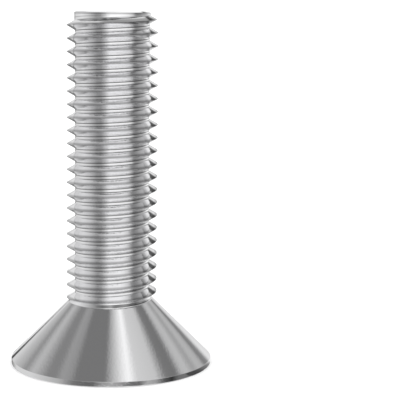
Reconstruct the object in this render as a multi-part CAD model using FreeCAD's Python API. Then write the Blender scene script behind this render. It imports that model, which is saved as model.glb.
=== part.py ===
import FreeCAD, Part
import math
import os

# Countersunk socket screw, one turned and rolled steel piece, threaded right up to its head.
# The frame: the flat face of the head lies in z = 0, the axis is Z and the threaded end points up.
# A place is given as (angle about the axis from +X, radius, height), and "turn" is one full turn.

# Driving dimensions of the thread, in millimetres and degrees
THREAD_DIAMETER = 14.0
PITCH = 2.0
THREAD_DEPTH = 1.32
CREST_FLAT = 0.125
FLANK_ANGLE = 60.0

# Driving dimensions of the whole screw and its two ends
LENGTH = 54.4
TIP_DIAMETER = 11.6
TIP_LENGTH = 1.3
TIP_BREAK_WIDTH = 0.35
TIP_BREAK_HEIGHT = 0.2
NECK_DIAMETER = 13.3
NECK_LENGTH = 1.0

# The last crest sinks away into the tip over some turns. It ends at this height and angle, where
# it still stands a little above the groove's floor
FADE_TURNS = 0.5
FADE_END_HEIGHT = LENGTH - 0.38
FADE_END_ANGLE = 140.0
LAST_CREST_DEPTH = 0.06

# Above the neck the groove gets its depth over some turns
RUNOUT_TURNS = 0.5

# Driving dimensions of the head
HEAD_DIAMETER = 31.1
CONE_ANGLE = 90.0
LAND_HEIGHT = 0.85
FACE_BREAK = 0.15

# Driving dimensions of the hexagon socket
KEY_WIDTH = 12.0
KEY_CLEARANCE = 0.04
SOCKET_DEPTH = 5.0
MOUTH_DIAMETER = 13.3
MOUTH_ANGLE = 90.0
STEP_WIDTH = 0.45
POINT_ANGLE = 124.0

# How finely a turn of the thread is cut into faces, and how far apart edges still count as one
FACES_PER_TURN = 9
SEWING_TOLERANCE = 0.0005

# Radii, slopes and heights that follow from the sizes above
CREST_RADIUS = THREAD_DIAMETER / 2
ROOT_RADIUS = CREST_RADIUS - THREAD_DEPTH
TIP_RADIUS = TIP_DIAMETER / 2
NECK_RADIUS = NECK_DIAMETER / 2
HEAD_RADIUS = HEAD_DIAMETER / 2
FLANK_SLOPE = math.tan(math.radians(FLANK_ANGLE / 2))
CONE_SLOPE = math.tan(math.radians(CONE_ANGLE / 2))
TURN = 2 * math.pi
STEP = TURN / FACES_PER_TURN


def cone_height(radius):
    """Height at which the countersunk cone has this radius."""
    return LAND_HEIGHT + (HEAD_RADIUS - radius) / CONE_SLOPE


# The thread starts hidden in the neck and is built in whole faces up to the end of its last crest
FADE_END = math.radians(FADE_END_ANGLE)
SUNK_RADIUS = ROOT_RADIUS + LAST_CREST_DEPTH
RUNOUT_HEIGHT = cone_height(NECK_RADIUS) + NECK_LENGTH
START_HEIGHT = RUNOUT_HEIGHT - PITCH
FACE_COUNT = math.ceil((FADE_END_HEIGHT - START_HEIGHT) / PITCH * FACES_PER_TURN)
START_ANGLE = FADE_END - FACE_COUNT * STEP


def thread_height(angle):
    """Height of the middle of the crest at this angle, which goes on counting past a full turn."""
    return FADE_END_HEIGHT + PITCH * (angle - FADE_END) / TURN


def crest_radius(angle):
    """Radius of the crest: full, and over the last part of a turn sinking away into the tip."""
    share = min(1.0, (FADE_END - angle) / (TURN * FADE_TURNS))
    return SUNK_RADIUS + (CREST_RADIUS - SUNK_RADIUS) * share


def floor_radius(angle):
    """Radius of the groove's floor just below the crest at this angle: it rises to the neck."""
    share = (thread_height(angle) - RUNOUT_HEIGHT) / (PITCH * RUNOUT_TURNS)
    return NECK_RADIUS + (ROOT_RADIUS - NECK_RADIUS) * min(1.0, max(0.0, share))


def ridge_section(angle):
    """The four corners of the thread's ridge at this angle."""
    middle = thread_height(angle)
    crest = crest_radius(angle)
    below = floor_radius(angle)
    above = floor_radius(angle + TURN)
    half = CREST_FLAT / 2
    return {
        "lower_foot": (angle, below, middle - half - (crest - below) * FLANK_SLOPE),
        "lower_crest": (angle, crest, middle - half),
        "upper_crest": (angle, crest, middle + half),
        "upper_foot": (angle, above, middle + half + (crest - above) * FLANK_SLOPE),
    }


def point(place):
    """The point at (angle, radius, height)."""
    angle, radius, height = place
    return FreeCAD.Vector(radius * math.cos(angle), radius * math.sin(angle), height)


def line(start, end):
    """Straight edge between two places."""
    return Part.LineSegment(point(start), point(end)).toShape()


def spiral_poles(start, end):
    """Poles of the curve that turns about the axis between two places and widens and rises evenly.

    Both ends have the true spiral's direction and curvature, so pieces of up to 45 degrees join
    smoothly and leave the spiral by less than 0.0001 mm.
    """
    swing = end[0] - start[0]
    widening = end[1] - start[1]
    rise = FreeCAD.Vector(0, 0, end[2] - start[2])
    poles = [[], []]
    for side, way, (angle, radius, height) in zip(poles, (1, -1), (start, end)):
        outward = FreeCAD.Vector(math.cos(angle), math.sin(angle), 0)
        onward = FreeCAD.Vector(-math.sin(angle), math.cos(angle), 0)
        speed = outward * widening + onward * (radius * swing) + rise
        bending = onward * (2 * widening * swing) - outward * (radius * swing * swing)
        side.append(point((angle, radius, height)))
        side.append(side[0] + speed * (way / 5))
        side.append(side[0] + speed * (way * 2 / 5) + bending / 20)
    return poles[0] + poles[1][::-1]


def spiral(start, end):
    """Edge along that curve."""
    curve = Part.BezierCurve()
    curve.setPoles(spiral_poles(start, end))
    return curve.toShape()


def flank(low_start, low_end, high_start, high_end):
    """Face with straight lines between two spirals.

    A weight that falls with the radius spaces both spirals alike, which keeps the face's mesh small.
    """
    poles = [spiral_poles(low_start, low_end), spiral_poles(high_start, high_end)]
    weights = [[2 / (start[1] + end[1])] * 6 for start, end in ((low_start, low_end), (high_start, high_end))]
    surface = Part.BSplineSurface()
    surface.buildFromPolesMultsKnots(poles, [2, 2], [6, 6], [0, 1], [0, 1], False, False, 1, 5, weights)
    return surface.toShape()


def cylinder_face(edges, radius):
    """Face on a cylinder about the axis, inside the edges given in any order."""
    cylinder = Part.Cylinder()
    cylinder.Radius = radius
    face = Part.Face(cylinder, Part.Wire(Part.__sortEdges__(edges)))
    face.validate()
    return face


def band(low_start, low_end, high_start, high_end):
    """Face between two spirals: a piece of a true cylinder where both have one radius."""
    places = (low_start, low_end, high_start, high_end)
    radius = low_start[1]
    if any(abs(place[1] - radius) > SEWING_TOLERANCE for place in places):
        return flank(*places)
    sides = [line(low_start, high_start), line(low_end, high_end)]
    return cylinder_face([spiral(low_start, low_end), spiral(high_start, high_end)] + sides, radius)


def ring(radius, height):
    """The arcs of a full circle, which start and stop where the faces of the thread do."""
    arcs = []
    for index in range(FACES_PER_TURN):
        angle = START_ANGLE + index * STEP
        arcs.append(spiral((angle, radius, height), (angle + STEP, radius, height)))
    return arcs


def at_angle(place, section):
    """The same place, its angle counted in the turn of this section."""
    return (section["lower_foot"][0], place[1], place[2])


def thread_faces(sections):
    """Crest, two flanks and the groove below them, face by face from the start to the end."""
    faces = []
    corners = ["lower_foot", "lower_crest", "upper_crest", "upper_foot"]
    for index in range(FACE_COUNT):
        here = sections[index]
        there = sections[index + 1]
        for low, high in zip(corners, corners[1:]):
            faces.append(band(here[low], there[low], here[high], there[high]))
        if index >= FACES_PER_TURN:
            under_here = at_angle(sections[index - FACES_PER_TURN]["upper_foot"], here)
            under_there = at_angle(sections[index + 1 - FACES_PER_TURN]["upper_foot"], there)
            faces.append(band(under_here, under_there, here["lower_foot"], there["lower_foot"]))
    return faces


def skirt_faces(sections, foot, radius, height, joint):
    """Plain cylinder between one turn of the ridge's foot and a circle, closed at its joint."""
    faces = []
    for index in range(FACES_PER_TURN):
        here = sections[index][foot]
        there = sections[index + 1][foot]
        rim = [(here[0], radius, height), (there[0], radius, height)]
        edges = [spiral(*rim), spiral(here, there)]
        edges += upright(here, height, sections, joint == index)
        edges += upright(there, height, sections, joint == index + 1)
        faces.append(cylinder_face(edges, radius))
    return faces


def upright(place, height, sections, is_joint):
    """Straight side of a skirt, cut where the end of the ridge and the groove meet it."""
    angle, radius, foot = place
    levels = [height, foot]
    if is_joint:
        ends = [section[corner][2] for section in (sections[0], sections[-1])
                for corner in ("lower_foot", "upper_foot")]
        low, high = sorted(levels)
        levels += [end for end in ends if low + SEWING_TOLERANCE < end < high - SEWING_TOLERANCE]
    levels.sort()
    return [line((angle, radius, low), (angle, radius, high)) for low, high in zip(levels, levels[1:])]


def ridge_cap(section):
    """Flat end of the ridge."""
    corners = [point(place) for place in section.values()]
    return Part.Face(Part.makePolygon(corners + corners[:1]))


def threaded_shank():
    """Solid with the whole thread, from inside the head to inside the tip."""
    sections = [ridge_section(START_ANGLE + index * STEP) for index in range(FACE_COUNT + 1)]
    bottom = START_HEIGHT - PITCH / 2
    top = (FADE_END_HEIGHT + LENGTH) / 2
    first_turn = sections[: FACES_PER_TURN + 1]
    last_turn = sections[-FACES_PER_TURN - 1:]
    faces = thread_faces(sections)
    faces += skirt_faces(first_turn, "lower_foot", NECK_RADIUS, bottom, FACES_PER_TURN)
    faces += skirt_faces(last_turn, "upper_foot", ROOT_RADIUS, top, 0)
    faces += [ridge_cap(sections[0]), ridge_cap(sections[-1])]
    faces.append(Part.Face(Part.Wire(ring(NECK_RADIUS, bottom))))
    faces.append(Part.Face(Part.Wire(ring(ROOT_RADIUS, top))))
    skin = Part.makeCompound(faces)
    skin.sewShape(SEWING_TOLERANCE)
    solid = Part.Solid(skin.Shells[0])
    if solid.Volume < 0:
        solid.reverse()
    return solid


def turned(profile):
    """Solid of revolution about the axis from (radius, height) corners."""
    corners = [FreeCAD.Vector(radius, 0, height) for radius, height in profile]
    face = Part.Face(Part.makePolygon(corners + corners[:1]))
    return face.revolve(FreeCAD.Vector(0, 0, 0), FreeCAD.Vector(0, 0, 1), 360)


def head():
    """Flat face, cylindrical land and countersunk cone, which goes on inside the neck."""
    inner_radius = ROOT_RADIUS - CREST_FLAT
    return turned([
        (0, 0),
        (HEAD_RADIUS - FACE_BREAK, 0),
        (HEAD_RADIUS, FACE_BREAK),
        (HEAD_RADIUS, LAND_HEIGHT),
        (inner_radius, cone_height(inner_radius)),
        (0, cone_height(inner_radius)),
    ])


def tip():
    """Short plain end, into which the last crest sinks."""
    low = LENGTH - TIP_LENGTH
    return turned([
        (0, low),
        (TIP_RADIUS, low),
        (TIP_RADIUS, LENGTH - TIP_BREAK_HEIGHT),
        (TIP_RADIUS - TIP_BREAK_WIDTH, LENGTH),
        (0, LENGTH),
    ])


def hexagon(width, height):
    """Corners of a hexagon with this width across its flats, two of them on the Y axis."""
    reach = width / math.sqrt(3)
    return [point((math.radians(30 + 60 * index), reach, height)) for index in range(6)]


def socket():
    """The hollow of the key's socket: straight walls, a narrow step and a six-sided point."""
    width = KEY_WIDTH + KEY_CLEARANCE
    narrow = width - 2 * STEP_WIDTH
    step_floor = SOCKET_DEPTH + STEP_WIDTH
    apex = FreeCAD.Vector(0, 0, step_floor + narrow / 2 / math.tan(math.radians(POINT_ANGLE / 2)))
    below = -FACE_BREAK
    rings = [hexagon(width, below), hexagon(width, SOCKET_DEPTH), hexagon(narrow, step_floor)]
    faces = [Part.Face(Part.makePolygon(rings[0] + rings[0][:1]))]
    for index in range(6):
        after = (index + 1) % 6
        for low, high in zip(rings, rings[1:]):
            corners = [low[index], low[after], high[after], high[index], low[index]]
            faces.append(Part.Face(Part.makePolygon(corners)))
        last = rings[-1]
        faces.append(Part.Face(Part.makePolygon([last[index], last[after], apex, last[index]])))
    return Part.Solid(Part.makeShell(faces)).fuse(mouth(below, narrow / 2))


def mouth(below, inner_radius):
    """The cone that opens the socket's mouth, from below the head's face to inside the hexagon."""
    slope = math.tan(math.radians(MOUTH_ANGLE / 2))
    outer_radius = MOUTH_DIAMETER / 2 - below * slope
    depth = (outer_radius - inner_radius) / slope
    return Part.makeCone(outer_radius, inner_radius, depth, FreeCAD.Vector(0, 0, below))


def socket_screw():
    """The whole screw as one solid."""
    body = threaded_shank().fuse([head(), tip()])
    return body.cut(socket())


os.makedirs("parts", exist_ok=True)
screw = socket_screw()
screw.Solids[0].exportStep("parts/socket_screw.step")
print("socket_screw", round(screw.Volume, 1), "mm3,", len(screw.Faces), "faces, valid", screw.isValid())
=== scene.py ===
import math

import bpy
import numpy as np
from mathutils import Matrix, Vector


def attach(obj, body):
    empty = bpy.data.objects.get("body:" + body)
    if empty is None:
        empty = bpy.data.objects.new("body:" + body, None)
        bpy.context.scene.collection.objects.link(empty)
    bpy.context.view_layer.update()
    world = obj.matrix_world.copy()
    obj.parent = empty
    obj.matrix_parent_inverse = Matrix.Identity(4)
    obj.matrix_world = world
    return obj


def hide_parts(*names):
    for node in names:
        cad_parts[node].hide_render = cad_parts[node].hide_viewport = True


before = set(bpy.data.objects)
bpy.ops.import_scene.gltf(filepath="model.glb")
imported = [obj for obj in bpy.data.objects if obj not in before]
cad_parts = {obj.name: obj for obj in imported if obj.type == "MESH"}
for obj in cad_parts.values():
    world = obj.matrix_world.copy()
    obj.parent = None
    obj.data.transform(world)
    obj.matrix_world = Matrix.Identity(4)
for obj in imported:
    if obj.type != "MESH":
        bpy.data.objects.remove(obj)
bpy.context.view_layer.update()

# Sizes of the screw in millimetres, as in the CAD model, on the same frame: the flat face of the
# head lies in z = 0 and the axis is Z. The mesh is made in millimetres and scaled to metres.
MILLIMETRE = 0.001
CREST_RADIUS = 7.0
PITCH = 2.0
ROOT_RADIUS = 5.68
CREST_ROUNDING = 0.06
ROOT_ROUNDING = 0.304
LENGTH = 54.4
TIP_RADIUS = 5.8
TIP_LOW = 53.1
TIP_FILLET = 0.1
TIP_BREAK_WIDTH = 0.35
TIP_BREAK_HEIGHT = 0.2
EDGE_ROUNDING = 0.04
NECK_RADIUS = 6.65
NECK_LENGTH = 1.0
NECK_FILLET = 0.06
FADE_END_HEIGHT = LENGTH - 0.38
FADE_END = math.radians(140.0)
FADE_SWING = math.radians(180.0)
LAST_CREST_DEPTH = 0.06
RUNOUT_SWING = math.radians(180.0)
HEAD_RADIUS = 15.55
LAND_HEIGHT = 0.85
LAND_ROUNDING = 0.06
FACE_ROUNDING = 0.15
SOCKET_APOTHEM = 6.02
SOCKET_DEPTH = 5.0
SOCKET_STEP = 0.45
SOCKET_POINT_ANGLE = math.radians(124.0)
MOUTH_RADIUS = 6.65

# Angles of the thread's profile, and the angle that one side of the hexagon takes
TURN = 2 * math.pi
FLANK_ANGLE = math.radians(30.0)
FLANK_SLOPE = math.tan(math.radians(60.0))
HEXAGON_SIDE = math.radians(60.0)

# How finely the mesh follows the screw. The rows in the root and on the socket's point are shares
# of the way to the root's middle and to the point.
COLUMNS = 180
END_ROW_HEIGHT = 0.05
CORNER_STEPS = 5
LONGEST_FACE = 1.2
ROOT_ROWS = (0.3, 0.55, 0.8)
POINT_ROWS = (0, 0.5, 0.98)

# Step over which the surface's slope is taken, distance under which a row joins a level ring, and
# length that counts as none
SLOPE_STEP = 1e-3
ROW_MARGIN = 1e-4
NEGLIGIBLE = 1e-6

# Heights and radii at which parts of the mesh meet
CONE_TOP = 9.0
THREAD_LOW = 11.3
THREAD_HIGH = 52.7
FACE_INNER_RADIUS = 7.5
END_INNER_RADIUS = 0.5


def cone_radius(height):
    """Radius of the countersunk cone at this height."""
    return HEAD_RADIUS + LAND_HEIGHT - height


RUNOUT_HEIGHT = LAND_HEIGHT + HEAD_RADIUS - NECK_RADIUS + NECK_LENGTH
ANGLES = np.arange(COLUMNS) * TURN / COLUMNS


def thread_height(angle):
    """Height of the middle of the crest, for an angle that goes on counting past a full turn."""
    return FADE_END_HEIGHT + PITCH * (angle - FADE_END) / TURN


def crest_radius(angle):
    """Radius of the crest, which sinks into the tip over the last half turn."""
    sunk = ROOT_RADIUS + LAST_CREST_DEPTH
    return sunk + (CREST_RADIUS - sunk) * np.clip((FADE_END - angle) / FADE_SWING, 0, 1)


def floor_radius(angle):
    """Radius of the groove's floor below the crest at this angle, which rises to the neck."""
    above_neck = thread_height(angle) - RUNOUT_HEIGHT
    cut = np.clip(above_neck * TURN / PITCH / RUNOUT_SWING, 0, 1)
    return NECK_RADIUS + (ROOT_RADIUS - NECK_RADIUS) * cut


def ridge_radius(angle, offset):
    """Radius of the thread at a height above the crest's middle: crest arc, flank, root arc, floor."""
    crest = crest_radius(angle)
    floor = np.where(offset < 0, floor_radius(angle), floor_radius(angle + TURN))
    depth = np.maximum(crest - floor, NEGLIGIBLE)
    shrink = np.minimum(1, depth / (0.5 * (CREST_ROUNDING + ROOT_ROUNDING)))
    top = CREST_ROUNDING * shrink
    bottom = ROOT_ROUNDING * shrink
    away = np.abs(offset)
    apex = crest + top
    meeting = (apex - floor) / FLANK_SLOPE
    reach = bottom * math.tan(FLANK_ANGLE)
    crest_arc = apex - 2 * top + np.sqrt(np.maximum(top**2 - away**2, 0))
    flank = apex - away * FLANK_SLOPE
    root_arc = floor + bottom - np.sqrt(np.maximum(bottom**2 - (meeting + reach - away) ** 2, 0))
    radius = np.where(away < top * math.cos(FLANK_ANGLE), crest_arc, flank)
    radius = np.where(away > meeting - reach / 2, root_arc, radius)
    return np.where(away > meeting + reach, floor, radius)


def joined(first, second, fillet):
    """The larger of two radii, with a rounded inner corner where they meet."""
    overlap = np.maximum(fillet - np.abs(first - second), 0)
    return np.maximum(first, second) + overlap**2 / (4 * fillet)


def shank_radius(angle, height):
    """Radius of the shank at an angle from 0 to one turn and a height, from the cone to the tip."""
    turns = np.round((height - thread_height(angle)) / PITCH)
    turns = np.minimum(turns, np.floor((FADE_END - angle) / TURN))
    along = angle + turns * TURN
    offset = np.clip(height - thread_height(along), -PITCH, PITCH / 2)
    radius = ridge_radius(along, offset)
    past_end = height - thread_height(along) > PITCH / 2
    radius = np.where(past_end, ROOT_RADIUS, radius)
    radius = joined(radius, TIP_RADIUS + np.minimum(height - TIP_LOW, 0), TIP_FILLET)
    return joined(radius, cone_radius(height), NECK_FILLET)


def on_shank(angle, height):
    """Points of the shank's surface and the directions that it faces."""
    step = SLOPE_STEP
    radius = shank_radius(angle, height)
    rise = (shank_radius(angle, height + step) - shank_radius(angle, height - step)) / (2 * step)
    swing = (shank_radius(angle + step, height) - shank_radius(angle - step, height)) / (2 * step)
    points = np.stack([radius * np.cos(angle), radius * np.sin(angle), height], -1)
    normals = np.stack(
        [
            np.cos(angle) + swing / radius * np.sin(angle),
            np.sin(angle) - swing / radius * np.cos(angle),
            -rise,
        ],
        -1,
    )
    return points, normals / np.linalg.norm(normals, axis=-1, keepdims=True)


class Skin:
    """A mesh under construction: points, faces and the direction that each face's corners show."""

    def __init__(self):
        self.points = []
        self.faces = []
        self.normals = []

    def row(self, points):
        """Adds points and gives their numbers."""
        first = len(self.points)
        self.points.extend(np.asarray(points, float).tolist())
        return np.arange(first, len(self.points))

    def face(self, corners, normals):
        """Adds a face, leaving out corners that repeat the one before."""
        kept = [n for n, corner in enumerate(corners) if corner != corners[n - 1]]
        if len(kept) > 2:
            self.faces.append([int(corners[n]) for n in kept])
            self.normals.extend(normals[n] for n in kept)

    def band(self, lower, upper, lower_normals, upper_normals):
        """Closed band of faces between two rows that go once round the axis."""
        for i in range(len(lower)):
            j = (i + 1) % len(lower)
            self.face(
                (lower[i], lower[j], upper[j], upper[i]),
                (lower_normals[i], lower_normals[j], upper_normals[j], upper_normals[i]),
            )

    def build(self, name, material):
        """The finished object, in metres."""
        mesh = bpy.data.meshes.new(name)
        mesh.from_pydata((np.array(self.points) * MILLIMETRE).tolist(), [], self.faces)
        mesh.shade_smooth()
        mesh.normals_split_custom_set([tuple(n) for n in self.normals])
        mesh.materials.append(material)
        piece = bpy.data.objects.new(name, mesh)
        bpy.context.scene.collection.objects.link(piece)
        return piece


def thread_offsets():
    """Heights within one pitch, about the crest's middle, where the thread's profile has a row."""
    apex = CREST_RADIUS + CREST_ROUNDING
    meeting = (apex - ROOT_RADIUS) / FLANK_SLOPE
    reach = ROOT_ROUNDING * math.tan(FLANK_ANGLE)
    crest_end = CREST_ROUNDING * math.cos(FLANK_ANGLE)
    root_start = meeting - reach / 2
    one_side = [crest_end / 2, crest_end, (crest_end + root_start) / 2, root_start]
    one_side += [root_start + (PITCH / 2 - root_start) * share for share in ROOT_ROWS]
    return [-PITCH / 2] + [-offset for offset in reversed(one_side)] + [0] + one_side


def add_thread(skin, low_ring, high_ring):
    """The thread between two level rings, in rows that follow the helix and end on the rings."""
    offsets = np.array(thread_offsets())
    first_turn = math.floor((THREAD_LOW - thread_height(TURN)) / PITCH) - 1
    last_turn = math.ceil((THREAD_HIGH - thread_height(0)) / PITCH) + 1
    turns = np.arange(first_turn, last_turn)
    rows = (turns[:, None] * PITCH + offsets[None, :]).ravel()
    heights = thread_height(ANGLES)[:, None] + rows[None, :]
    below = heights <= THREAD_LOW + ROW_MARGIN
    above = heights >= THREAD_HIGH - ROW_MARGIN
    inside = ~(below | above)
    angles = np.broadcast_to(ANGLES[:, None], heights.shape)
    points, normals = on_shank(angles[inside], heights[inside])
    grid = np.where(below, low_ring[:, None], high_ring[:, None])
    grid[inside] = skin.row(points)
    grid_normals = np.zeros(heights.shape + (3,))
    grid_normals[inside] = normals
    for ring_height, chosen in ((THREAD_LOW, below), (THREAD_HIGH, above)):
        ring_normals = on_shank(ANGLES, np.full(COLUMNS, ring_height))[1]
        grid_normals[chosen] = np.broadcast_to(ring_normals[:, None, :], grid_normals.shape)[chosen]
    for i in range(COLUMNS):
        j = (i + 1) % COLUMNS
        shift = len(offsets) if j == 0 else 0
        for k in range(len(rows) - 1 - shift):
            places = ((i, k), (j, k + shift), (j, k + 1 + shift), (i, k + 1))
            skin.face([grid[place] for place in places], [grid_normals[place] for place in places])


def add_level_rows(skin, low, high):
    """Shank between two heights in level rows. Gives the numbers of the lowest and highest row."""
    count = math.ceil((high - low) / END_ROW_HEIGHT)
    rows = []
    for height in np.linspace(low, high, count + 1):
        points, normals = on_shank(ANGLES, np.full(COLUMNS, height))
        rows.append((skin.row(points), normals))
    for (lower, lower_normals), (upper, upper_normals) in zip(rows, rows[1:]):
        skin.band(lower, upper, lower_normals, upper_normals)
    return rows[0][0], rows[-1][0]


def turned_normals(direction):
    """The direction (outward, up), turned about the axis for each column."""
    outward, up = Vector(direction).normalized()
    return np.stack([outward * np.cos(ANGLES), outward * np.sin(ANGLES), np.full(COLUMNS, up)], -1)


def around(radius, height):
    """Ring of points, one for each column, with one radius and height or one for each column."""
    places = np.broadcast_arrays(radius * np.cos(ANGLES), radius * np.sin(ANGLES), height)
    return np.stack(places, -1)


def rounded_profile(corners):
    """Points and directions along a line with rounded corners, given as (radius, height, rounding).

    The surface faces to the left of the way that the line goes, and its corners stand out.
    """
    profile = []
    places = [Vector(corner[:2]) for corner in corners]
    for n, (place, corner) in enumerate(zip(places, corners)):
        before = (place - places[n - 1]).normalized() if n else None
        after = (places[n + 1] - place).normalized() if n + 1 < len(places) else None
        facing = [Vector((-way[1], way[0])) for way in (before, after) if way]
        if len(facing) == 1 or not corner[2]:
            profile.extend((place, direction) for direction in facing)
            continue
        inward = corner[2] / math.cos(before.angle(after) / 2)
        middle = place - (facing[0] + facing[1]).normalized() * inward
        for step in range(CORNER_STEPS + 1):
            direction = facing[0].slerp(facing[1], step / CORNER_STEPS)
            profile.append((middle + direction * corner[2], direction))
    return profile


def add_turned(skin, first_row, profile):
    """Turned surface from an existing row along a profile. Gives its last row."""
    row = first_row
    for (start, start_way), (end, end_way) in zip(profile, profile[1:]):
        if (end - start).length < NEGLIGIBLE:
            continue
        pieces = max(1, math.ceil((end - start).length / LONGEST_FACE))
        for piece in range(1, pieces + 1):
            place = start.lerp(end, piece / pieces)
            after = skin.row(around(*place))
            skin.band(after, row, turned_normals(end_way), turned_normals(start_way))
            row = after
    return row


def close(skin, ring, height, normal):
    """Fan of faces from a ring to a point on the axis."""
    centre = skin.row([(0, 0, height)])[0]
    for i in range(COLUMNS):
        j = (i + 1) % COLUMNS
        corners = (ring[i], ring[j], centre) if normal[2] > 0 else (ring[j], ring[i], centre)
        skin.face(corners, (normal,) * 3)


def hexagon_radius(apothem):
    """Distance from the axis to a hexagon's wall in each column, with two corners on the Y axis."""
    from_flat = (ANGLES + HEXAGON_SIDE / 2) % HEXAGON_SIDE - HEXAGON_SIDE / 2
    return apothem / np.cos(from_flat)


def add_socket(skin, mouth_ring):
    """Mouth chamfer, six walls, narrow step and six-sided point of the key's socket."""
    wall = hexagon_radius(SOCKET_APOTHEM)
    narrow = hexagon_radius(SOCKET_APOTHEM - SOCKET_STEP)
    point_height = (SOCKET_APOTHEM - SOCKET_STEP) / math.tan(SOCKET_POINT_ANGLE / 2)
    step_top = SOCKET_DEPTH + SOCKET_STEP
    chamfer = np.maximum(MOUTH_RADIUS - wall, 0)
    below_wall = mouth_ring.copy()
    below_wall[chamfer > 0] = skin.row(around(wall, chamfer)[chamfer > 0])
    rows = [below_wall, skin.row(around(wall, SOCKET_DEPTH))]
    for share in POINT_ROWS:
        rows.append(skin.row(around(narrow * (1 - share), step_top + point_height * share)))
    inward = turned_normals((-1, -1))
    skin.band(below_wall, mouth_ring, inward, inward)
    for lower, upper in zip(rows, rows[1:]):
        for i in range(COLUMNS):
            j = (i + 1) % COLUMNS
            corners = (lower[j], lower[i], upper[i], upper[j])
            quad = [Vector(skin.points[corner]) for corner in corners]
            direction = (quad[2] - quad[0]).cross(quad[3] - quad[1])
            direction.normalize()
            skin.face(corners, (direction,) * 4)
    close(skin, rows[-1], step_top + point_height, (0, 0, -1))


def make_screw(material):
    """The whole screw as one closed mesh."""
    skin = Skin()
    top = LENGTH - 2 * TIP_BREAK_HEIGHT
    neck_low, neck_high = add_level_rows(skin, CONE_TOP, THREAD_LOW)
    tip_low, tip_high = add_level_rows(skin, THREAD_HIGH, top)
    add_thread(skin, neck_high, tip_low)
    head = rounded_profile([
        (cone_radius(CONE_TOP), CONE_TOP, 0),
        (HEAD_RADIUS, LAND_HEIGHT, LAND_ROUNDING),
        (HEAD_RADIUS, 0, FACE_ROUNDING),
        (FACE_INNER_RADIUS, 0, 0),
    ])
    face_ring = add_turned(skin, neck_low, head)
    mouth = np.maximum(MOUTH_RADIUS, hexagon_radius(SOCKET_APOTHEM))
    mouth_ring = skin.row(around(mouth, 0))
    down = turned_normals((0, -1))
    skin.band(mouth_ring, face_ring, down, down)
    add_socket(skin, mouth_ring)
    end = rounded_profile([
        (END_INNER_RADIUS, LENGTH, 0),
        (TIP_RADIUS - TIP_BREAK_WIDTH, LENGTH, EDGE_ROUNDING),
        (TIP_RADIUS, LENGTH - TIP_BREAK_HEIGHT, EDGE_ROUNDING),
        (TIP_RADIUS, top, 0),
    ])
    first = skin.row(around(*end[0][0]))
    close(skin, first, LENGTH, (0, 0, 1))
    last = add_turned(skin, first, end[:-1])
    skin.band(tip_high, last, turned_normals((1, 0)), turned_normals((1, 0)))
    return skin.build("polished_screw", material)


def node(tree, kind, inputs=None, **settings):
    """New shader node with its settings and its unlinked values or links."""
    made = tree.nodes.new(kind)
    for name, value in settings.items():
        setattr(made, name, value)
    for name, value in (inputs or {}).items():
        if isinstance(value, bpy.types.NodeSocket):
            tree.links.new(value, made.inputs[name])
        else:
            made.inputs[name].default_value = value
    return made


def calculate(tree, operation, *values):
    """Result of one operation on values or links."""
    return node(tree, "ShaderNodeMath", dict(enumerate(values)), operation=operation).outputs[0]


def span(tree, value, start, end):
    """Runs from 0 to 1 while the value goes from start to end."""
    made = node(tree, "ShaderNodeMapRange", {"Value": value, "From Min": start, "From Max": end})
    return made.outputs["Result"]


def within(tree, strength, sides):
    """The strength inside all the sides, fading to 0 outside any one. A side is value, start, end."""
    share = strength
    for side in sides:
        share = calculate(tree, "MULTIPLY", share, span(tree, *side))
    return share


def even(value):
    """Colour with the same value in each channel."""
    return (value, value, value, 1)


def blend(tree, share, first, second):
    """Colour that goes from the first to the second with the share."""
    mixed = node(tree, "ShaderNodeMix", {"Factor": share, "A": first, "B": second}, data_type="RGBA")
    return mixed.outputs["Result"]


def ramp(tree, share, stops):
    """Grey that runs evenly from one stop to the next. A stop is a share from 0 to 1 and a value."""
    made = node(tree, "ShaderNodeValToRGB", {"Fac": share})
    elements = made.color_ramp.elements
    while len(elements) > 1:
        elements.remove(elements[0])
    for number, (position, value) in enumerate(stops):
        element = elements[0] if number == 0 else elements.new(position)
        element.position = position
        element.color = even(value)
    return made.outputs["Color"]


# The steel: how much light its bright parts throw back, the grey of its painted shade, the clouds in
# its gloss, which are the noise values between which its roughness runs from low to high, and its fine
# grain. Scales are in waves per metre, and the grain's height is in metres.
STEEL_GREY = 0.90
STEEL_BLUE = STEEL_GREY * 1.01
STEEL_PAINTED_SHADE = 0.10
GLOSS_SCALE = 260.0
GLOSS_DETAIL = 4.0
GLOSS_CLOUDS = (0.3, 0.7)
ROUGHNESS = (0.04, 0.07)
GRAIN_SCALE = 2600.0
GRAIN_DETAIL = 2.0
GRAIN_STRENGTH = 0.15
GRAIN_HEIGHT = 4e-5

# Painted shade across the thread, as (height above the crest's middle in pitches, darkness): a thin
# line of painted shade just above the middle of the root, and one along the crest that paints its
# darker reflection. Both set in between two heights at the neck, in millimetres, and end over the last
# half pitch.
PAINTED_SHADE_LINES = [
    (-0.5, 0.0), (-0.475, 0.0), (-0.45, 0.9), (-0.41, 0.9), (-0.385, 0.0),
    (-0.10, 0.0), (-0.03, 0.45), (0.07, 0.55), (0.16, 0.0), (0.5, 0.0),
]
LINES_START = RUNOUT_HEIGHT - 0.8
LINES_FULL = RUNOUT_HEIGHT - 0.65

# Painted shade at the tip, as the darkness and the sides between which it lies: a painted dark
# reflection on the last turn's upper flank from left of the middle to the right, and a line of painted
# shade under the edge. A side says what is measured, and the millimetres at which the darkness sets in and
# is full.
TIP_PAINTED_SHADE = [
    (0.75, [("up", 52.5, 52.75), ("right", -3.2, -1.2), ("out", TIP_RADIUS + 0.2, TIP_RADIUS + 0.7)]),
    (0.50, [("up", 53.92, 54.0), ("up", 54.2, 54.12), ("out", TIP_RADIUS - 0.1, TIP_RADIUS - 0.02)]),
]


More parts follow.
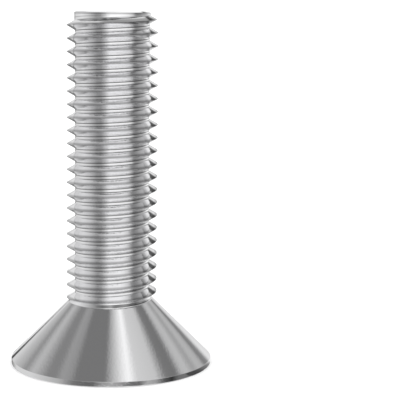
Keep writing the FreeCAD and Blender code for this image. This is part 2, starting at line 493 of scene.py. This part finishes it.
def thread_painted_shade(tree, place):
    """Painted shade across the thread, and nothing outside the thread."""
    split = node(tree, "ShaderNodeSeparateXYZ", {"Vector": place}).outputs
    angle = calculate(tree, "ARCTAN2", split["Y"], split["X"])
    turns = calculate(tree, "MULTIPLY_ADD", angle, -1 / TURN, 0.5 - thread_height(0) / PITCH)
    offset = calculate(tree, "MULTIPLY_ADD", split["Z"], 1 / (PITCH * MILLIMETRE), turns)
    share = calculate(tree, "FRACT", offset)
    across = ramp(tree, share, [(height + 0.5, darkness) for height, darkness in PAINTED_SHADE_LINES])
    low = span(tree, split["Z"], LINES_START * MILLIMETRE, LINES_FULL * MILLIMETRE)
    high = span(tree, split["Z"], FADE_END_HEIGHT * MILLIMETRE, (FADE_END_HEIGHT - PITCH / 2) * MILLIMETRE)
    return calculate(tree, "MULTIPLY", across, calculate(tree, "MULTIPLY", low, high))


def tip_painted_shade(tree, place):
    """Painted shade at the tip: a dark reflection on the last flank and a shaded line under the edge."""
    split = node(tree, "ShaderNodeSeparateXYZ", {"Vector": place}).outputs
    level = node(tree, "ShaderNodeVectorMath", {0: place, 1: (1, 1, 0)}, operation="MULTIPLY")
    out = node(tree, "ShaderNodeVectorMath", {0: level.outputs["Vector"]}, operation="LENGTH")
    measures = {"up": split["Z"], "right": split["X"], "out": out.outputs["Value"]}
    darkness = 0.0
    for strength, sides in TIP_PAINTED_SHADE:
        metres = [(measures[what], start * MILLIMETRE, end * MILLIMETRE) for what, start, end in sides]
        darkness = calculate(tree, "MAXIMUM", darkness, within(tree, strength, metres))
    return darkness


def polished_steel():
    """Bright steel with painted shade on the thread and at the tip, clouds in its gloss and a fine grain.
    """
    material = bpy.data.materials.new("polished_steel")
    material.use_nodes = True
    tree = material.node_tree
    shader = tree.nodes["Principled BSDF"]
    place = node(tree, "ShaderNodeTexCoord").outputs["Object"]
    clouds = node(tree, "ShaderNodeTexNoise", {
        "Vector": place, "Scale": GLOSS_SCALE, "Detail": GLOSS_DETAIL,
    })
    gloss = node(tree, "ShaderNodeMapRange", {
        "Value": clouds.outputs["Fac"], "From Min": GLOSS_CLOUDS[0], "From Max": GLOSS_CLOUDS[1],
        "To Min": ROUGHNESS[0], "To Max": ROUGHNESS[1],
    })
    grain = node(tree, "ShaderNodeTexNoise", {
        "Vector": place, "Scale": GRAIN_SCALE, "Detail": GRAIN_DETAIL,
    })
    bump = node(tree, "ShaderNodeBump", {
        "Height": grain.outputs["Fac"], "Strength": GRAIN_STRENGTH, "Distance": GRAIN_HEIGHT,
    })
    # Painted shade: the dark lines on the thread and the dark parts at the tip darken the base colour.
    darkness = calculate(tree, "MAXIMUM", thread_painted_shade(tree, place), tip_painted_shade(tree, place))
    colour = blend(tree, darkness, (STEEL_GREY, STEEL_GREY, STEEL_BLUE, 1), even(STEEL_PAINTED_SHADE))
    tree.links.new(colour, shader.inputs["Base Color"])
    tree.links.new(gloss.outputs["Result"], shader.inputs["Roughness"])
    tree.links.new(bump.outputs["Normal"], shader.inputs["Normal"])
    shader.inputs["Metallic"].default_value = 1.0
    return material


# Half the side of the square floor, in metres, and how much light the floor throws back
FLOOR_HALF = 30.0
FLOOR_GREY = 0.93


def pale_floor():
    """Plain pale floor, left out of the steel's reflections."""
    material = bpy.data.materials.new("pale_floor")
    material.use_nodes = True
    shader = material.node_tree.nodes["Principled BSDF"]
    shader.inputs["Base Color"].default_value = even(FLOOR_GREY)
    shader.inputs["Roughness"].default_value = 1.0
    shader.inputs["Specular IOR Level"].default_value = 0.0
    mesh = bpy.data.meshes.new("floor")
    signs = ((-1, -1), (1, -1), (1, 1), (-1, 1))
    mesh.from_pydata([(x * FLOOR_HALF, y * FLOOR_HALF, 0) for x, y in signs], [], [(0, 1, 2, 3)])
    mesh.materials.append(material)
    floor = bpy.data.objects.new("floor", mesh)
    bpy.context.scene.collection.objects.link(floor)
    floor.visible_glossy = False


# The studio's soft panels as (angle in degrees, grey value from 0 to 1 on screen). Overhead, the
# angle leans from straight up to the right. The others go round from the camera's side to the
# right: level with the screw, then a skirt just under that, then a band below the skirt. The nadir
# is one even grey.
OVERHEAD = [
    (-105, 0.97), (-85, 0.88), (-67, 0.76), (-59, 0.67), (-55, 0.55), (-50, 0.72), (-46, 0.62),
    (-42, 0.50), (-38, 0.50), (-34, 0.59), (-29, 0.56), (-25, 0.45), (-5, 0.45), (0, 0.66), (13, 0.97),
    (19, 0.80), (31, 0.76), (37, 0.46), (43, 0.44), (46, 0.70), (49, 0.73), (53, 0.60), (56, 0.70),
    (59.5, 0.68), (63, 0.48), (68, 0.55), (76, 0.77), (90, 0.84), (105, 0.95),
]
LEVEL = [
    (-178, 0.93), (-168, 0.88), (-159, 0.80), (-105, 0.88), (-80, 0.80), (-50, 0.57), (-36, 0.60),
    (-24, 0.78), (-14, 0.93), (-6, 1.01), (20, 1.00), (32, 0.98), (46, 0.93), (58, 0.85), (66, 0.73),
    (73, 0.56), (81, 0.51), (91, 0.56), (100, 0.64), (110, 0.69), (121, 0.76), (131, 0.86), (138, 0.94),
    (148, 0.96), (158, 0.87), (167, 0.84), (176, 0.93),
]
SKIRT = [
    (-178, 0.93), (-168, 0.88), (-159, 0.80), (-105, 0.88), (-84, 0.80), (-50, 0.60), (-38, 0.46),
    (-24, 0.42), (-12, 0.54), (-4, 0.63), (6, 0.56), (16, 0.47), (26, 0.50), (36, 0.56), (46, 0.54),
    (58, 0.40), (69, 0.38), (74, 0.34), (81, 0.41), (90, 0.50), (98, 0.53), (106, 0.48), (114, 0.54),
    (121, 0.68), (131, 0.80), (138, 0.93), (148, 0.96), (158, 0.87), (167, 0.84), (176, 0.93),
]
BELOW = [
    (-178, 0.45), (-163, 0.52), (-152, 0.66), (-140, 0.82), (-105, 0.82), (-62, 0.68), (-44, 0.44),
    (-22, 0.35), (-10, 0.56), (0, 0.64), (10, 0.56), (20, 0.42), (31, 0.36), (42, 0.66), (51, 0.60),
    (62, 0.34), (73, 0.18), (83, 0.42), (93, 0.44), (103, 0.34), (113, 0.50), (123, 0.72), (138, 0.92),
]
NADIR = 0.85

# Where each band takes over from the one above it, as the upward part of a direction of length 1.
# Under the band below, the level panels return, and then comes the even nadir. The overhead panels
# take over where the upward part, plus a share of the part to the back, is large enough.
SKIRT_SPAN = (-0.145, -0.160)
BELOW_SPAN = (-0.245, -0.255)
RETURN_SPAN = (-0.290, -0.305)
NADIR_SPAN = (-0.70, -0.82)
OVERHEAD_TILT = 0.25
OVERHEAD_SPAN = (0.28, 0.42)

# Single panels, two before the screw but not at its left and five behind it, as the grey value and
# the sides between which the panel lies. A side says which part of a direction is measured, and
# where the panel sets in and is full.
FRONT = [("front", 0.35, 0.45), ("right", -0.30, -0.15)]
BACK = [("back", 0.70, 0.78)]
NARROW = [("right", -0.44, -0.38), ("right", 0.44, 0.38)]
PANELS = [
    (0.93, FRONT + [("up", 0.10, 0.30)]),
    (0.56, FRONT + [("up", 0.62, 0.68)]),
    (0.95, [("back", 0.24, 0.34), ("up", 0.45, 0.55)] + NARROW),
    (0.86, BACK + [("up", 0.12, 0.18)] + NARROW),
    (0.34, BACK + [("up", 0.27, 0.35), ("up", 0.56, 0.50), ("right", 0.19, 0.25)] + NARROW),
    (0.48, BACK + [
        ("up", -0.14, -0.18), ("up", -0.42, -0.36), ("right", -0.06, -0.12), ("right", -0.34, -0.28),
    ]),
    (0.25, BACK + [
        ("up", 0.09, 0.05), ("up", -0.20, -0.16), ("right", -0.28, -0.32), ("right", -0.44, -0.40),
    ]),
]

# Even light for all that isn't a reflection
ROOM_LIGHT = 1.4

# Grey values of the card that the land mirrors at its right end, by the angle round the axis: a
# glowing card that paints the floor's shade close to the head into the reflection. Then the card's ends
# in degrees, the step between its faces, and its width in millimetres.
CARD = [(52, 0.28), (60, 0.28), (65, 0.33), (70, 0.43), (75, 0.47), (80, 0.56), (84, 0.75), (88, 0.92)]
CARD_START = 52
CARD_END = 91
CARD_STEP = 3
CARD_REACH = 2.0


def light_from(grey):
    """Light that the camera shows as this sRGB grey, once the steel has taken its share."""
    return ((grey + 0.055) / 1.055) ** 2.4 / STEEL_GREY


def bearing_of(tree, split):
    """Angle round the axis, from the camera's side to the right."""
    front = calculate(tree, "MULTIPLY", split["Y"], -1.0)
    return calculate(tree, "ARCTAN2", split["X"], front)


def panels(tree, angle, stops):
    """Brightness by angle, running evenly from one stop to the next."""
    share = span(tree, angle, -math.pi, math.pi)
    return ramp(tree, share, [(degrees / 360 + 0.5, light_from(grey)) for degrees, grey in stops])


def studio():
    """World of soft panels for reflections, and even white light for the floor and the backdrop."""
    world = bpy.data.worlds.new("studio")
    bpy.context.scene.world = world
    world.use_nodes = True
    tree = world.node_tree
    way = node(tree, "ShaderNodeTexCoord").outputs["Generated"]
    split = node(tree, "ShaderNodeSeparateXYZ", {"Vector": way}).outputs
    front = calculate(tree, "MULTIPLY", split["Y"], -1.0)
    parts = {"right": split["X"], "back": split["Y"], "front": front, "up": split["Z"]}
    bearing = bearing_of(tree, split)
    lean = calculate(tree, "ARCTAN2", split["X"], split["Z"])
    level = panels(tree, bearing, LEVEL)
    light = level
    for colour, (start, end) in (
        (panels(tree, bearing, SKIRT), SKIRT_SPAN),
        (panels(tree, bearing, BELOW), BELOW_SPAN),
        (level, RETURN_SPAN),
        (even(light_from(NADIR)), NADIR_SPAN),
    ):
        light = blend(tree, span(tree, split["Z"], start, end), light, colour)
    raised = calculate(tree, "MULTIPLY_ADD", split["Y"], OVERHEAD_TILT, split["Z"])
    light = blend(tree, span(tree, raised, *OVERHEAD_SPAN), light, panels(tree, lean, OVERHEAD))
    for grey, sides in PANELS:
        share = within(tree, 1.0, [(parts[part], start, end) for part, start, end in sides])
        light = blend(tree, share, light, even(light_from(grey)))
    glossy = node(tree, "ShaderNodeLightPath").outputs["Is Glossy Ray"]
    light = blend(tree, glossy, even(ROOM_LIGHT), light)
    tree.links.new(light, tree.nodes["Background"].inputs["Color"])


def glowing_card():
    """Material of the card: its own light, by the angle round the axis, which paints the floor's shade
    near the head into reflections.
    """
    material = bpy.data.materials.new("card")
    material.use_nodes = True
    tree = material.node_tree
    place = node(tree, "ShaderNodeTexCoord").outputs["Object"]
    split = node(tree, "ShaderNodeSeparateXYZ", {"Vector": place}).outputs
    glow = node(tree, "ShaderNodeEmission", {"Color": panels(tree, bearing_of(tree, split), CARD)})
    tree.links.new(glow.outputs[0], tree.nodes["Material Output"].inputs["Surface"])
    return material


def add_card():
    """Curved glowing card on the floor beside the head, which only the screw's reflections show: a painted
    reflection of the floor's shade close to the head.
    """
    points = []
    for degrees in range(CARD_START, CARD_END + 1, CARD_STEP):
        turn = math.radians(degrees)
        for radius in (HEAD_RADIUS, HEAD_RADIUS + CARD_REACH):
            points.append((radius * math.sin(turn) * MILLIMETRE, -radius * math.cos(turn) * MILLIMETRE, 0))
    faces = [(n, n + 1, n + 3, n + 2) for n in range(0, len(points) - 2, 2)]
    mesh = bpy.data.meshes.new("card")
    mesh.from_pydata(points, [], faces)
    mesh.materials.append(glowing_card())
    card = bpy.data.objects.new("card", mesh)
    bpy.context.scene.collection.objects.link(card)
    card.visible_camera = False
    card.visible_diffuse = False
    card.visible_transmission = False
    card.visible_shadow = False


# The camera as fitted to the photograph: place in metres, angles in degrees, lens and sensor in
# millimetres, and the nearest and farthest metres that it sees
CAMERA_PLACE = (0.0, -0.20336, 0.05454)
CAMERA_TURN = 3.84
CAMERA_TILT = 8.11
CAMERA_ROLL = -0.73
CAMERA_LENS = 119.22
CAMERA_SENSOR = 36.0
CAMERA_NEAR = 0.01
CAMERA_FAR = 100.0


def add_camera():
    """Camera at the photograph's viewing angle."""
    turn, tilt, roll = (math.radians(angle) for angle in (CAMERA_TURN, CAMERA_TILT, CAMERA_ROLL))
    ahead = Vector((math.sin(turn) * math.cos(tilt), math.cos(turn) * math.cos(tilt), -math.sin(tilt)))
    level = Vector((math.cos(turn), -math.sin(turn), 0))
    up = level.cross(ahead)
    right = level * math.cos(roll) - up * math.sin(roll)
    up = level * math.sin(roll) + up * math.cos(roll)
    lens = bpy.data.cameras.new("camera")
    lens.lens = CAMERA_LENS
    lens.sensor_width = CAMERA_SENSOR
    lens.clip_start = CAMERA_NEAR
    lens.clip_end = CAMERA_FAR
    camera = bpy.data.objects.new("camera", lens)
    axes = Matrix((right, up, -ahead)).transposed().to_4x4()
    camera.matrix_world = Matrix.Translation(CAMERA_PLACE) @ axes
    bpy.context.scene.collection.objects.link(camera)
    bpy.context.scene.camera = camera


add_camera()
pale_floor()
studio()
add_card()
bpy.context.scene.view_settings.view_transform = "Standard"

screw = make_screw(polished_steel())
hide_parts("socket_screw")
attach(screw, "root")
